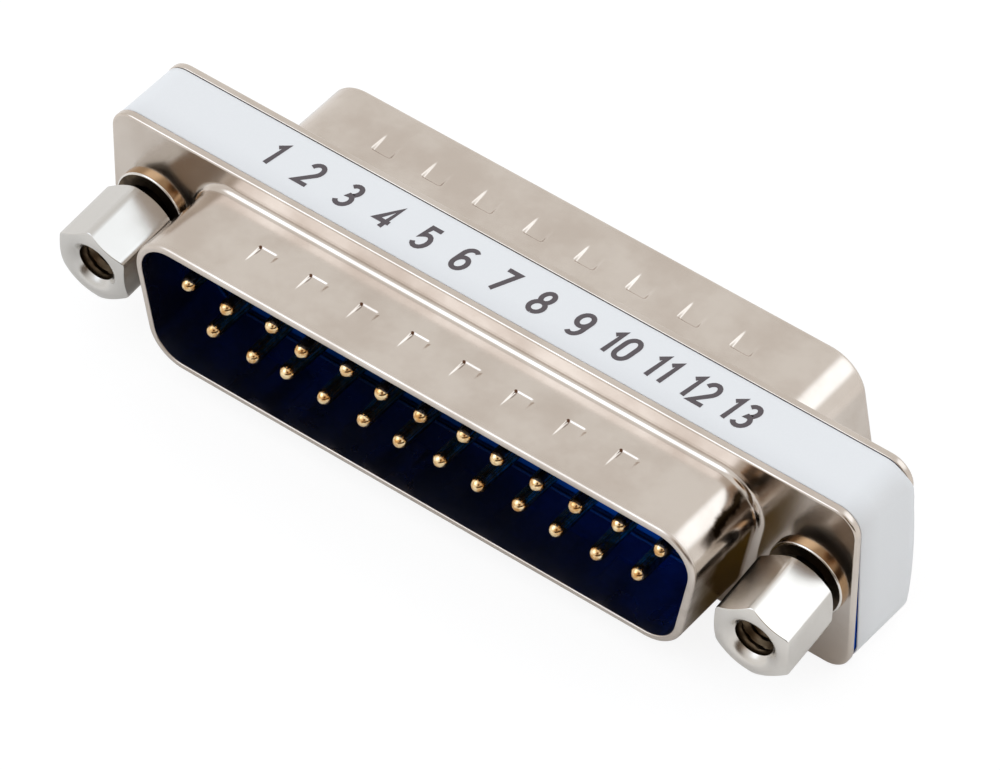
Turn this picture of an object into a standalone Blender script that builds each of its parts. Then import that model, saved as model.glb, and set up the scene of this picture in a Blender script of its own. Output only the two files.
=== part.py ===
"""Plug-to-plug gender changer for twenty-five way D connectors.

Two drawn steel plug shells stand back to back on a split plastic core. Bent contacts run
through the core from one plug to the other, and a paper band closes the gap between the
two flanges. Two threaded rivets clamp the stack together at its ends, and a hexagonal
standoff is screwed into the front of each.

X runs along the flanges, the front plug faces -Y and Z is up. The part stands on the lower
edges of its flanges, at z = 0, with the origin midway between the two flanges.
"""

from math import atan2, cos, pi, radians, sin, sqrt, tan

import bmesh
import bpy
from mathutils import Vector

# Contacts, in metres
LONG_ROW = 13
SHORT_ROW = 12
CONTACT_PITCH = 0.00277
ROW_SPACING = 0.00284
PIN_DIAMETER = 0.00102
PIN_SETBACK = 0.0007
CRANK_DIAMETER = 0.0007
CRANK_REACH = 0.00055

# Flanges and shells: the margins lie beyond the long row, the mouth and the screws
MOUTH_MARGIN = 0.00286
SCREW_MARGIN = 0.00404
FLANGE_MARGIN = 0.003
MOUTH_WIDTH = (LONG_ROW - 1) * CONTACT_PITCH + 2 * MOUTH_MARGIN
SCREW_SPACING = MOUTH_WIDTH + 2 * SCREW_MARGIN
FLANGE_LENGTH = SCREW_SPACING + 2 * FLANGE_MARGIN
FLANGE_HEIGHT = 0.01255
FLANGE_CORNER = 0.0016
EDGE_ROUND = 0.00014
FACE_TO_FACE = 0.0055
SHEET = 0.00048
SHELL_REACH = 0.0059
MOUTH_HEIGHT = 0.00836
MOUTH_CORNER = 0.0021
MOUTH_SLANT = radians(10)
ROOT_FILLET = 0.0005
RIM_OUTER_ROUND = 0.00026
RIM_INNER_ROUND = 0.00008

# Grounding dimples pressed into the long walls of each shell
DIMPLE_COUNT = 8
DIMPLE_PITCH = 0.00367
DIMPLE_WIDTH = 0.0013
DIMPLE_LENGTH = 0.00165
DIMPLE_DEPTH = 0.00025
DIMPLE_RISE = 0.00021
DIMPLE_OFFSET = 0.00233

# Standoffs and the threaded inserts that they screw into
STANDOFF_ACROSS = 0.00475
STANDOFF_LENGTH = 0.0048
STANDOFF_CHAMFER = 0.0003
STANDOFF_FACE = 0.0046
STANDOFF_DROP = 0.00015
NECK_DIAMETER = 0.0036
NECK_LENGTH = 0.00055
STUD_DIAMETER = 0.0024
STUD_LENGTH = 0.0042
STUD_CHAMFER = 0.0003
SOCKET_DIAMETER = 0.0025
SOCKET_MOUTH = 0.0036
SOCKET_DEPTH = 0.0046
INSERT_DIAMETER = 0.0040
INSERT_WALL = 0.00055
INSERT_HEAD = 0.0050
INSERT_HEAD_THICKNESS = 0.0003
INSERT_CHAMFER = 0.0001

# Core and label
FLOOR_STEP = 0.0001
LABEL_THICKNESS = 0.00015
LABEL_INSET = 0.00004
LABEL_REVEAL = 0.00012

# Clearances between pieces that touch
SEAT_GAP = 0.0002
SLIP_GAP = 0.00015
LABEL_GAP = 0.0001
HEAD_GAP = 0.0001

# How far a cutter runs past the face that it cuts
CUT_OVERRUN = 0.0005

# Facets
CORNER_STEPS = 6
ROUND_STEPS = 3
PIN_SIDES = 8
TURNED_SIDES = 24

CENTRE_HEIGHT = FLANGE_HEIGHT / 2
FLANGE_FACE = FACE_TO_FACE / 2
FLANGE_BACK = FLANGE_FACE - SHEET
RIM_FACE = FLANGE_FACE + SHELL_REACH
HEAD_FACE = FLANGE_FACE + HEAD_GAP + INSERT_HEAD_THICKNESS
CORE_FACE = FLANGE_BACK - SEAT_GAP
CORE_INSET = LABEL_INSET + LABEL_THICKNESS + LABEL_GAP


def clear_objects():
    for item in list(bpy.data.objects):
        bpy.data.objects.remove(item, do_unlink=True)


def make_material(name, colour, metallic, roughness):
    material = bpy.data.materials.new(name)
    material.use_nodes = True
    shader = material.node_tree.nodes["Principled BSDF"]
    shader.inputs["Base Color"].default_value = (*colour, 1)
    shader.inputs["Metallic"].default_value = metallic
    shader.inputs["Roughness"].default_value = roughness
    return material


def make_object(name, bm, material, smooth_angle=32):
    """An object at the middle of the flanges from a mesh drawn round that point."""
    bmesh.ops.recalc_face_normals(bm, faces=bm.faces)
    mesh = bpy.data.meshes.new(name)
    bm.to_mesh(mesh)
    bm.free()
    mesh.materials.append(material)
    mesh.shade_smooth()
    mesh.set_sharp_from_angle(angle=radians(smooth_angle))
    item = bpy.data.objects.new(name, mesh)
    item.location.z = CENTRE_HEIGHT
    bpy.context.collection.objects.link(item)
    return item


def make_cutter(name, bm, material):
    cutter = make_object(name, bm, material)
    cutter.hide_render = True
    cutter.display_type = "WIRE"
    return cutter


def add_boolean(item, cutter, operation):
    boolean = item.modifiers.new(cutter.name, "BOOLEAN")
    boolean.operation = operation
    boolean.solver = "EXACT"
    boolean.object = cutter


def arc(centre, radius, start, end, steps):
    """Points of an arc in a plane, from one angle to another in degrees."""
    angles = [radians(start + (end - start) * i / steps) for i in range(steps + 1)]
    return [(centre[0] + radius * cos(a), centre[1] + radius * sin(a)) for a in angles]


def rounded_rectangle(inset):
    """The flange's outline in x and z, drawn in from its edge by the inset."""
    radius = FLANGE_CORNER - inset
    x = FLANGE_LENGTH / 2 - FLANGE_CORNER
    z = FLANGE_HEIGHT / 2 - FLANGE_CORNER
    corners = (((x, z), 90), ((x, -z), 0), ((-x, -z), -90), ((-x, z), 180))
    points = []
    for centre, start in corners:
        points += arc(centre, radius, start, start - 90, CORNER_STEPS)
    return points


def mouth_outline(offset):
    """The D outline of a shell's inner wall in x and z, grown outwards by the offset."""
    slant = sin(MOUTH_SLANT)
    lean = cos(MOUTH_SLANT)
    corner = MOUTH_WIDTH / 2 + MOUTH_CORNER * ((1 + slant) / lean - 1)
    z = MOUTH_HEIGHT / 2 - MOUTH_CORNER
    wide = corner - MOUTH_CORNER * (1 + slant) / lean
    narrow = corner - (MOUTH_CORNER + (MOUTH_HEIGHT - MOUTH_CORNER) * slant) / lean
    side = -MOUTH_SLANT * 180 / pi
    radius = MOUTH_CORNER + offset
    right = arc((wide, z), radius, 90, side, CORNER_STEPS)
    right += arc((narrow, -z), radius, side, -90, CORNER_STEPS)
    return right + [(-x, z) for x, z in reversed(right)]


def circle(x, z, diameter, sides=TURNED_SIDES):
    turns = [2 * pi * i / sides for i in range(sides)]
    return [(x + diameter / 2 * cos(t), z + diameter / 2 * sin(t)) for t in turns]


def add_ring(bm, outline, y):
    return [bm.verts.new((x, y, z)) for x, z in outline]


def bridge(bm, first, second):
    """A band of faces between two rings with the same number of points."""
    count = len(first)
    for i in range(count):
        j = (i + 1) % count
        bm.faces.new((first[i], first[j], second[j], second[i]))


def bridge_all(bm, rings):
    for first, second in zip(rings, rings[1:]):
        bridge(bm, first, second)


def fill_flat(bm, rings):
    """One flat face with holes, from its outer ring and the rings of its holes."""
    edges = []
    for ring in rings:
        for i, vert in enumerate(ring):
            edges.append(bm.edges.get((vert, ring[(i + 1) % len(ring)])))
    bmesh.ops.triangle_fill(bm, use_beauty=True, edges=edges)


def turned(profile, x, z):
    """A turned piece on an axis along Y, from its profile of (y, radius) points."""
    bm = bmesh.new()
    rings = [add_ring(bm, circle(x, z, 2 * radius), y) for y, radius in profile]
    bridge_all(bm, rings)
    bm.faces.new(rings[0])
    bm.faces.new(rings[-1])
    return bm


def shell_section():
    """The drawn sheet's section round the mouth, as (offset, depth) points: the offset is
    measured out from the inner wall, the depth forward from the middle of the part."""
    root = SHEET + ROOT_FILLET
    bend = FLANGE_FACE + ROOT_FILLET
    rim_out = RIM_FACE - RIM_OUTER_ROUND
    rim_in = RIM_FACE - RIM_INNER_ROUND
    points = arc((root, bend), ROOT_FILLET, 270, 180, ROUND_STEPS)
    points += arc((SHEET - RIM_OUTER_ROUND, rim_out), RIM_OUTER_ROUND, 0, 90, ROUND_STEPS)
    points += arc((RIM_INNER_ROUND, rim_in), RIM_INNER_ROUND, 90, 180, 2)
    points += arc((root, bend), ROOT_FILLET + SHEET, 180, 270, ROUND_STEPS)
    return points


def flange_edge_section():
    """The flange's outer edge as (inset, depth) points, rolled over on its front side."""
    points = arc((EDGE_ROUND, FLANGE_FACE - EDGE_ROUND), EDGE_ROUND, 90, 180, 3)
    return points + [(0, FLANGE_BACK)]


def dimple_wedges(base, depth, sink):
    """Wedges along both long walls, thick towards the flange and running out towards the
    rim. Base is their height from the mouth's middle, and sink their overlap past it."""
    bm = bmesh.new()
    deep = -(FLANGE_FACE + DIMPLE_OFFSET)
    shallow = deep - DIMPLE_LENGTH
    for side in (1, -1):
        for i in range(DIMPLE_COUNT):
            middle = (i - (DIMPLE_COUNT - 1) / 2) * DIMPLE_PITCH
            corners = (
                (deep, base + sink),
                (deep, base - depth),
                (shallow, base),
                (shallow, base + sink),
            )
            ends = []
            for x in (middle - DIMPLE_WIDTH / 2, middle + DIMPLE_WIDTH / 2):
                ends.append([bm.verts.new((x, y, side * z)) for y, z in corners])
            bridge(bm, *ends)
            bm.faces.new(ends[0])
            bm.faces.new(ends[1])
    return bm


def make_shell(name, material):
    """A drawn plug shell facing -Y, its wide side up: flange, tube and rivet holes are one
    sheet with a filleted root, a rolled rim and dimples pressed through the long walls."""
    bm = bmesh.new()
    tube = [add_ring(bm, mouth_outline(offset), -y) for offset, y in shell_section()]
    edge = [add_ring(bm, rounded_rectangle(inset), -y) for inset, y in flange_edge_section()]
    bridge_all(bm, tube)
    bridge_all(bm, edge)
    holes = []
    for x in (-SCREW_SPACING / 2, SCREW_SPACING / 2):
        outline = circle(x, 0, INSERT_DIAMETER + 2 * SLIP_GAP)
        holes.append([add_ring(bm, outline, -y) for y in (FLANGE_FACE, FLANGE_BACK)])
        bridge(bm, *holes[-1])
    fill_flat(bm, [edge[0], tube[0]] + [front for front, back in holes])
    fill_flat(bm, [edge[-1], tube[-1]] + [back for front, back in holes])
    shell = make_object(name, bm, material)

    outside = MOUTH_HEIGHT / 2 + SHEET
    pockets = dimple_wedges(outside, DIMPLE_DEPTH, SHEET)
    add_boolean(shell, make_cutter(name + "_pockets", pockets, material), "DIFFERENCE")
    overlap = SHEET - DIMPLE_DEPTH
    bumps = dimple_wedges(MOUTH_HEIGHT / 2, DIMPLE_RISE, overlap / 2)
    add_boolean(shell, make_cutter(name + "_bumps", bumps, material), "UNION")
    return shell


def contact_places():
    """The contacts' x and z on the front plug, the long upper row first."""
    places = []
    for count, side in ((LONG_ROW, 1), (SHORT_ROW, -1)):
        for i in range(count):
            x = (i - (count - 1) / 2) * CONTACT_PITCH
            places.append((x, side * ROW_SPACING / 2))
    return places


def make_insulator(name, material):
    """A moulded half of the core behind the front plug: a plate between the flanges with a
    raised D that fills the shell's root, drilled for the contacts and for the inserts."""
    bm = bmesh.new()
    outline = rounded_rectangle(CORE_INSET)
    plate = [add_ring(bm, outline, -y) for y in (SEAT_GAP / 2, CORE_FACE)]
    raised = [
        add_ring(bm, mouth_outline(-SLIP_GAP), -CORE_FACE),
        add_ring(bm, mouth_outline(-SLIP_GAP), -(FLANGE_FACE + FLOOR_STEP)),
    ]
    bridge(bm, *plate)
    bridge(bm, *raised)
    bm.faces.new(plate[0])
    fill_flat(bm, [plate[1], raised[0]])
    bm.faces.new(raised[1])
    insulator = make_object(name, bm, material)

    holes = make_cutter(name + "_holes", contact_holes(), material)
    add_boolean(insulator, holes, "DIFFERENCE")
    slots = make_cutter(name + "_slots", crank_slots(), material)
    add_boolean(insulator, slots, "DIFFERENCE")
    bores = make_cutter(name + "_bores", insert_bores(), material)
    add_boolean(insulator, bores, "DIFFERENCE")
    return insulator


def contact_holes():
    bm = bmesh.new()
    for x, z in contact_places():
        outline = circle(x, z, PIN_DIAMETER + 2 * SLIP_GAP, PIN_SIDES)
        ends = [add_ring(bm, outline, -y) for y in (-CUT_OVERRUN, FLANGE_FACE + CUT_OVERRUN)]
        bridge(bm, *ends)
        for end in ends:
            bm.faces.new(end)
    return bm


def crank_slots():
    """Slots in the parting face that hold the cranked middles of the contacts."""
    bm = bmesh.new()
    half = CRANK_DIAMETER / 2 + SLIP_GAP
    depth = CRANK_REACH + PIN_DIAMETER / 2 + SLIP_GAP
    for x, z in contact_places():
        far = z + (half if z > 0 else -half)
        near = -half if z > 0 else half
        box = bmesh.ops.create_cube(bm, size=1)["verts"]
        bmesh.ops.scale(bm, vec=Vector((2 * half, 2 * depth, abs(far - near))), verts=box)
        middle = Vector((x, 0, (far + near) / 2))
        bmesh.ops.translate(bm, vec=middle, verts=box)
    return bm


def insert_bores():
    bm = bmesh.new()
    for x in (-SCREW_SPACING / 2, SCREW_SPACING / 2):
        outline = circle(x, 0, INSERT_DIAMETER + 2 * SLIP_GAP)
        ends = [add_ring(bm, outline, -y) for y in (-CUT_OVERRUN, CORE_FACE + CUT_OVERRUN)]
        bridge(bm, *ends)
        for end in ends:
            bm.faces.new(end)
    return bm


def contact_path(row_height):
    """Centre line of a contact in y and z: straight, cranked across the middle, straight."""
    tip = RIM_FACE - PIN_SETBACK
    return (
        (-tip, row_height),
        (-CRANK_REACH, row_height),
        (CRANK_REACH, -row_height),
        (tip, -row_height),
    )


def contact_ring(bm, x, centre, radius, tilt=0.0):
    """A ring of the contact's round section, leaning by the tilt from square to Y."""
    ring = []
    for across, along in circle(0, 0, 2 * radius, PIN_SIDES):
        y = centre[0] - along * tan(tilt)
        ring.append(bm.verts.new((x + across, y, centre[1] + along)))
    return ring


def pin_rings(bm, x, tip, height, side):
    """Rings of one pin from its round nose back to the step down to the cranked middle."""
    pin = PIN_DIAMETER / 2
    crank = CRANK_DIAMETER / 2
    rings = []
    for turn in (radians(40), radians(90)):
        y = tip - side * pin * (1 - cos(turn))
        rings.append(contact_ring(bm, x, (y, height), pin * sin(turn)))
    step = CRANK_REACH + CRANK_DIAMETER
    rings.append(contact_ring(bm, x, (side * (step + pin - crank), height), pin))
    rings.append(contact_ring(bm, x, (side * step, height), crank))
    nose = bm.verts.new((x, tip, height))
    for i in range(PIN_SIDES):
        bm.faces.new((nose, rings[0][i], rings[0][(i + 1) % PIN_SIDES]))
    return rings


def make_contact(name, x, row_height, material):
    """A double-ended contact: two round-nosed pins joined by a thinner cranked middle that
    takes it from one row on the front plug to the other row on the rear plug."""
    bm = bmesh.new()
    start, bend_in, bend_out, end = contact_path(row_height)
    lean = atan2(bend_out[1] - bend_in[1], bend_out[0] - bend_in[0])
    rings = pin_rings(bm, x, start[0], start[1], -1)
    for bend in (bend_in, bend_out):
        rings.append(contact_ring(bm, x, bend, CRANK_DIAMETER / 2, lean / 2))
    rings += reversed(pin_rings(bm, x, end[0], end[1], 1))
    bridge_all(bm, rings)
    return make_object(name, bm, material, smooth_angle=50)


def hexagon(x, z, across):
    """A hexagon with one corner up, so that two of its flats stand upright."""
    corner = across / sqrt(3)
    turns = [radians(90 + 60 * i) for i in range(6)]
    return [(x + corner * cos(t), z + corner * sin(t)) for t in turns]


def standoff_envelope(x, back, front):
    """The turned form that the hexagon is trimmed to, chamfered at both of its ends."""
    corner = STANDOFF_ACROSS / sqrt(3)
    face = STANDOFF_FACE / 2
    past = corner + (corner - face)
    chamfer = 2 * STANDOFF_CHAMFER
    profile = (
        (back, face),
        (back - chamfer, past),
        (front + chamfer, past),
        (front, face),
    )
    return turned(profile, x, -STANDOFF_DROP)


def standoff_stem(x, back):
    """The turned neck behind the hexagon, and the stud that goes into the insert."""
    seat = back + NECK_LENGTH
    stud = STUD_DIAMETER / 2
    neck = NECK_DIAMETER / 2
    profile = (
        (seat + STUD_LENGTH, stud - STUD_CHAMFER),
        (seat + STUD_LENGTH - STUD_CHAMFER, stud),
        (seat, stud),
        (seat, neck),
        (back - CUT_OVERRUN, neck),
    )
    return turned(profile, x, -STANDOFF_DROP)


def standoff_socket(x, front):
    """The screw hole in the standoff's face, with its countersunk mouth."""
    hole = SOCKET_DIAMETER / 2
    mouth = SOCKET_MOUTH / 2
    profile = (
        (front - CUT_OVERRUN, mouth + CUT_OVERRUN),
        (front + mouth - hole, hole),
        (front + SOCKET_DEPTH, hole),
    )
    return turned(profile, x, -STANDOFF_DROP)


def make_standoff(name, x, material):
    """A hexagonal standoff turned from bar, screwed into the front of an insert."""
    back = -(HEAD_FACE + HEAD_GAP + NECK_LENGTH)
    front = back - STANDOFF_LENGTH
    bm = bmesh.new()
    outline = hexagon(x, -STANDOFF_DROP, STANDOFF_ACROSS)
    ends = [add_ring(bm, outline, y) for y in (back + CUT_OVERRUN, front - CUT_OVERRUN)]
    bridge(bm, *ends)
    for end in ends:
        bm.faces.new(end)
    standoff = make_object(name, bm, material)
    envelope = make_cutter(name + "_envelope", standoff_envelope(x, back, front), material)
    add_boolean(standoff, envelope, "INTERSECT")
    stem = make_cutter(name + "_stem", standoff_stem(x, back), material)
    add_boolean(standoff, stem, "UNION")
    socket = make_cutter(name + "_socket", standoff_socket(x, front), material)
    add_boolean(standoff, socket, "DIFFERENCE")
    return standoff


def make_insert(name, x, material):
    """A threaded rivet through the whole stack, with a flat head on each flange."""
    barrel = INSERT_DIAMETER / 2
    head = INSERT_HEAD / 2
    half = (
        (HEAD_FACE - INSERT_HEAD_THICKNESS, barrel),
        (HEAD_FACE - INSERT_HEAD_THICKNESS, head),
        (HEAD_FACE - INSERT_CHAMFER, head),
        (HEAD_FACE, head - INSERT_CHAMFER),
        (HEAD_FACE, barrel - INSERT_WALL),
    )
    profile = [(-y, radius) for y, radius in reversed(half)] + list(half)
    bm = bmesh.new()
    rings = [add_ring(bm, circle(x, 0, 2 * radius), y) for y, radius in profile]
    bridge_all(bm, rings + rings[:1])
    return make_object(name, bm, material)


def make_label(name, material):
    """The band of paper round the core, just behind the front flange."""
    bm = bmesh.new()
    front = -(FLANGE_BACK - LABEL_GAP)
    rear = FLANGE_BACK - LABEL_REVEAL
    outside = rounded_rectangle(LABEL_INSET)
    inside = rounded_rectangle(LABEL_INSET + LABEL_THICKNESS)
    rings = [
        add_ring(bm, outside, front),
        add_ring(bm, outside, rear),
        add_ring(bm, inside, rear),
        add_ring(bm, inside, front),
    ]
    bridge_all(bm, rings + rings[:1])
    return make_object(name, bm, material)


def face_rear(item):
    """Turns a front piece and its cutters about X, so that it faces +Y narrow side up."""
    item.rotation_euler.x = pi
    for boolean in item.modifiers:
        boolean.object.rotation_euler.x = pi


def build():
    clear_objects()
    nickel = make_material("nickel_plate", (0.66, 0.60, 0.53), 1.0, 0.24)
    bright = make_material("bright_nickel", (0.74, 0.70, 0.65), 1.0, 0.16)
    navy = make_material("navy_plastic", (0.002, 0.006, 0.06), 0.0, 0.3)
    paper = make_material("label_paper", (0.80, 0.81, 0.84), 0.0, 0.5)
    gold = make_material("gold_plate", (0.9, 0.62, 0.25), 1.0, 0.2)

    make_shell("front_shell", nickel)
    face_rear(make_shell("rear_shell", nickel))
    make_insulator("front_insulator", navy)
    face_rear(make_insulator("rear_insulator", navy))
    make_label("label_band", paper)
    for number, (x, z) in enumerate(contact_places(), 1):
        make_contact(f"contact_{number:02d}", x, z, gold)
    for side, x in (("left", -SCREW_SPACING / 2), ("right", SCREW_SPACING / 2)):
        make_standoff("standoff_" + side, x, bright)
        make_insert("threaded_insert_" + side, x, bright)


build()
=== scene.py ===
"""Looks for the plug-to-plug gender changer: two nickel-plated plug shells back to back on a
navy core, a white band round the joint, gold contacts, and two hexagonal standoffs.

X runs along the flanges, the front plug faces -Y and Z is up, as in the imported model.
"""

from math import atan2, cos, degrees, pi, radians, sin, sqrt, tan, tau

import bmesh
import bpy
from mathutils import Matrix, Vector


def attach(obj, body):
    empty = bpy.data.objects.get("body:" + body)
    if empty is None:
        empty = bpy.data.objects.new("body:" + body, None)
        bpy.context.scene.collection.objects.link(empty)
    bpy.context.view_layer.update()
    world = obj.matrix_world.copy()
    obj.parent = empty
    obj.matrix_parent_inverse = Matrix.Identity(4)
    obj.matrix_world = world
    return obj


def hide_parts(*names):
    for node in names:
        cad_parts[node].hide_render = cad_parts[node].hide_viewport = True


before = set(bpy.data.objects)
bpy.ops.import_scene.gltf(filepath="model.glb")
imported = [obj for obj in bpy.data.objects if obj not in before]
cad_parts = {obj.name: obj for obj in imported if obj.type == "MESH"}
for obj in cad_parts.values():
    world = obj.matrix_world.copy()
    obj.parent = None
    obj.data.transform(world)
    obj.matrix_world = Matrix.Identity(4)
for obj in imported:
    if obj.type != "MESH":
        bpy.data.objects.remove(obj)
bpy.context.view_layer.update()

scene = bpy.context.scene
scene.view_settings.view_transform = "Standard"

# Camera: a long lens about 0.4 m away, above and to the right of the front plug, so that the
# top of the band, the front flange and the mouth of the plug all show.
CENTRE_HEIGHT = 0.006275
CAMERA_AZIMUTH = radians(37.388)
CAMERA_ELEVATION = radians(46.262)
CAMERA_ROLL = radians(0.507)
CAMERA_DISTANCE = 0.38975
CAMERA_FOCAL = 6813.4
AIM = Vector((-0.000167, 0, CENTRE_HEIGHT - 0.00235))

towards_camera = Vector((
    sin(CAMERA_AZIMUTH) * cos(CAMERA_ELEVATION),
    -cos(CAMERA_AZIMUTH) * cos(CAMERA_ELEVATION),
    sin(CAMERA_ELEVATION),
))
level = Vector((cos(CAMERA_AZIMUTH), sin(CAMERA_AZIMUTH), 0))
steep = towards_camera.cross(level)
camera_x = level * cos(CAMERA_ROLL) + steep * sin(CAMERA_ROLL)
camera_y = steep * cos(CAMERA_ROLL) - level * sin(CAMERA_ROLL)
camera = bpy.data.objects.new("camera", bpy.data.cameras.new("camera"))
scene.collection.objects.link(camera)
axes = Matrix((camera_x, camera_y, towards_camera)).transposed().to_4x4()
camera.matrix_world = Matrix.Translation(AIM + towards_camera * CAMERA_DISTANCE) @ axes
camera.data.sensor_width = 36
camera.data.lens = CAMERA_FOCAL * 36 / 1000
camera.data.clip_start = 0.01
camera.data.clip_end = 20
scene.camera = camera

# Studio: a white table and backdrop under an even white ceiling. A cool box of light hangs at
# the front left and a broad one at the back right. The room is dim low at the front right and
# darkest behind the camera. Spreads are the angles where a patch is full and where it ends.
CEILING = (0.95, 0.95, 0.945)
ROOM_BLACK = (0.03, 0.018, 0.008)
ROOM_SHADE = (0.085, 0.05, 0.022)
ROOM_BROWN = (0.46, 0.25, 0.09)
FRONT_BOX = (-0.43, -0.60, 0.67)
FRONT_GLOW = (1.35, 1.6, 1.95)
FRONT_SPREAD = (5, 26)
BACK_BOX = (0.49, 0.58, 0.64)
BACK_GLOW = (0.8, 0.92, 1.05)
BACK_SPREAD = (12, 26)
BEHIND_CAMERA = (0.42, -0.66, 0.62)
BROWN_SPREAD = (12, 19)
BLACK_SPREAD = (6, 13)
DIM_HEIGHT = (0.26, 0.48)
DIM_SIDE = (-0.15, 0.35)
DIM_FRONT = (-0.2, 0.1)
BACKDROP_BACK = (-0.1, 0.2)
BACKDROP_HEIGHT = (0.2, 0.45)

world = bpy.data.worlds.new("studio")
scene.world = world
world.use_nodes = True
sky = world.node_tree
sky.nodes.clear()


def node(tree, kind, settings=None, **inputs):
    """A node with its settings, and each input set to a value or linked to a socket."""
    made = tree.nodes.new(kind)
    for name, value in (settings or {}).items():
        setattr(made, name, value)
    for name, value in inputs.items():
        key = int(name[1:]) if name[0] == "_" else name.replace("_", " ")
        socket = made.inputs[key]
        if isinstance(value, bpy.types.NodeSocket):
            tree.links.new(value, socket)
        elif isinstance(value, tuple) and len(value) == 3 and socket.type == "RGBA":
            socket.default_value = (*value, 1)
        else:
            socket.default_value = value
    return made


def maths(tree, operation, *values, clamp=False):
    inputs = {f"_{i}": value for i, value in enumerate(values)}
    made = node(tree, "ShaderNodeMath", {"operation": operation, "use_clamp": clamp}, **inputs)
    return made.outputs[0]


def product(tree, first, *others):
    for other in others:
        first = maths(tree, "MULTIPLY", first, other)
    return first


def smooth_step(tree, value, low, high, start=0.0, end=1.0):
    made = node(tree, "ShaderNodeMapRange", {"interpolation_type": "SMOOTHSTEP"},
                Value=value, From_Min=low, From_Max=high, To_Min=start, To_Max=end)
    return made.outputs[0]


def mixed(tree, share, first, second, blend="MIX"):
    made = node(tree, "ShaderNodeMix", {"data_type": "RGBA", "blend_type": blend},
                _0=share, _6=first, _7=second)
    return made.outputs[2]


def patch(direction, spread):
    """1 within the first angle of a direction, falling to 0 at the second one."""
    inner, outer = spread
    dot = node(sky, "ShaderNodeVectorMath", {"operation": "DOT_PRODUCT"},
               _0=ray, _1=Vector(direction).normalized())
    return smooth_step(sky, dot.outputs["Value"], cos(radians(outer)), cos(radians(inner)))


def seen_white(tree, clear):
    """1 where the camera sees a place straight, or sees a clear place in a mirror."""
    path = node(tree, "ShaderNodeLightPath").outputs
    mirrored = maths(tree, "MAXIMUM", path["Is Glossy Ray"], path["Is Transmission Ray"])
    return maths(tree, "MAXIMUM", path["Is Camera Ray"], product(tree, mirrored, clear))


ray = node(sky, "ShaderNodeTexCoord").outputs["Generated"]
ray_parts = node(sky, "ShaderNodeSeparateXYZ", Vector=ray).outputs
low_right = product(sky, smooth_step(sky, ray_parts["Z"], *DIM_HEIGHT, 1, 0),
                    smooth_step(sky, ray_parts["X"], *DIM_SIDE),
                    smooth_step(sky, ray_parts["Y"], *DIM_FRONT, 1, 0))
light = mixed(sky, low_right, CEILING, ROOM_SHADE)
light = mixed(sky, patch(BEHIND_CAMERA, BROWN_SPREAD), light, ROOM_BROWN)
light = mixed(sky, patch(BEHIND_CAMERA, BLACK_SPREAD), light, ROOM_BLACK)
for where, glow, spread in ((FRONT_BOX, FRONT_GLOW, FRONT_SPREAD),
                            (BACK_BOX, BACK_GLOW, BACK_SPREAD)):
    light = mixed(sky, patch(where, spread), light, mixed(sky, 1.0, light, glow, "ADD"))
backdrop = product(sky, smooth_step(sky, ray_parts["Y"], *BACKDROP_BACK),
                   smooth_step(sky, ray_parts["Z"], *BACKDROP_HEIGHT, 1, 0))
light = mixed(sky, seen_white(sky, backdrop), light, (1, 1, 1))
background = node(sky, "ShaderNodeBackground", Color=light, Strength=1.0)
node(sky, "ShaderNodeOutputWorld", Surface=background.outputs[0])

TABLE_REACH = 3.0
TABLE_NEAR_EDGE = 0.12
TABLE_PAINT = (0.9, 0.9, 0.895)
TABLE_SEEN = (0.17, 0.17, 0.17)
TABLE_GLOW = 0.87
TABLE_CLEAR = (0.032, 0.05)
table_mesh = bpy.data.meshes.new("table")
table_mesh.from_pydata(
    [(-TABLE_REACH, -TABLE_NEAR_EDGE, 0), (TABLE_NEAR_EDGE, -TABLE_NEAR_EDGE, 0),
     (TABLE_NEAR_EDGE, TABLE_REACH, 0), (-TABLE_REACH, TABLE_REACH, 0)], [], [(0, 1, 2, 3)])
table = bpy.data.objects.new("table", table_mesh)
scene.collection.objects.link(table)
table_paint = bpy.data.materials.new("white_table")
table_paint.use_nodes = True
tree = table_paint.node_tree
tree.nodes.clear()
matt = node(tree, "ShaderNodeBsdfDiffuse", Color=TABLE_PAINT)
faint = node(tree, "ShaderNodeBsdfDiffuse", Color=TABLE_SEEN)
lit = node(tree, "ShaderNodeEmission", Color=(1, 1, 1), Strength=TABLE_GLOW)
white = node(tree, "ShaderNodeAddShader", _0=faint.outputs[0], _1=lit.outputs[0])
place = node(tree, "ShaderNodeTexCoord").outputs["Object"]
away = node(tree, "ShaderNodeVectorMath", {"operation": "LENGTH"}, _0=place).outputs["Value"]
clear_table = smooth_step(tree, away, *TABLE_CLEAR)
table_look = node(tree, "ShaderNodeMixShader", _0=seen_white(tree, clear_table),
                  _1=matt.outputs[0], _2=white.outputs[0])
node(tree, "ShaderNodeOutputMaterial", Surface=table_look.outputs[0])
table_mesh.materials.append(table_paint)

# Plug shells: two drawings of thin steel sheet, nickel plated. Each has a flat flange with a
# rounded edge, a filleted root, a rolled rim and eight grounding dimples along each long wall.
# The rear plug's dimples are pressed deeper: their values are kept by whether a shell is rear.
FLANGE_LENGTH = 0.05304
FLANGE_HEIGHT = 0.01255
FLANGE_CORNER = 0.0016
EDGE_ROUND = 0.00016
BACK_ROUND = 0.00006
FLANGE_FACE = 0.00275
SHEET = 0.00048
FLANGE_BACK = FLANGE_FACE - SHEET
RIM_FACE = FLANGE_FACE + 0.0059
MOUTH_WIDTH = 0.03896
MOUTH_HEIGHT = 0.00836
MOUTH_CORNER = 0.0021
MOUTH_SLANT = radians(10)
ROOT_FILLET = 0.0005
RIM_OUTER_ROUND = 0.00026
RIM_INNER_ROUND = 0.00008
SUPPORT = 0.00005
DIMPLE_RUN = (0.2, 0.35, 0.5, 0.65, 0.78, 0.88, 0.96, 1.0, 1.05)
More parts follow.
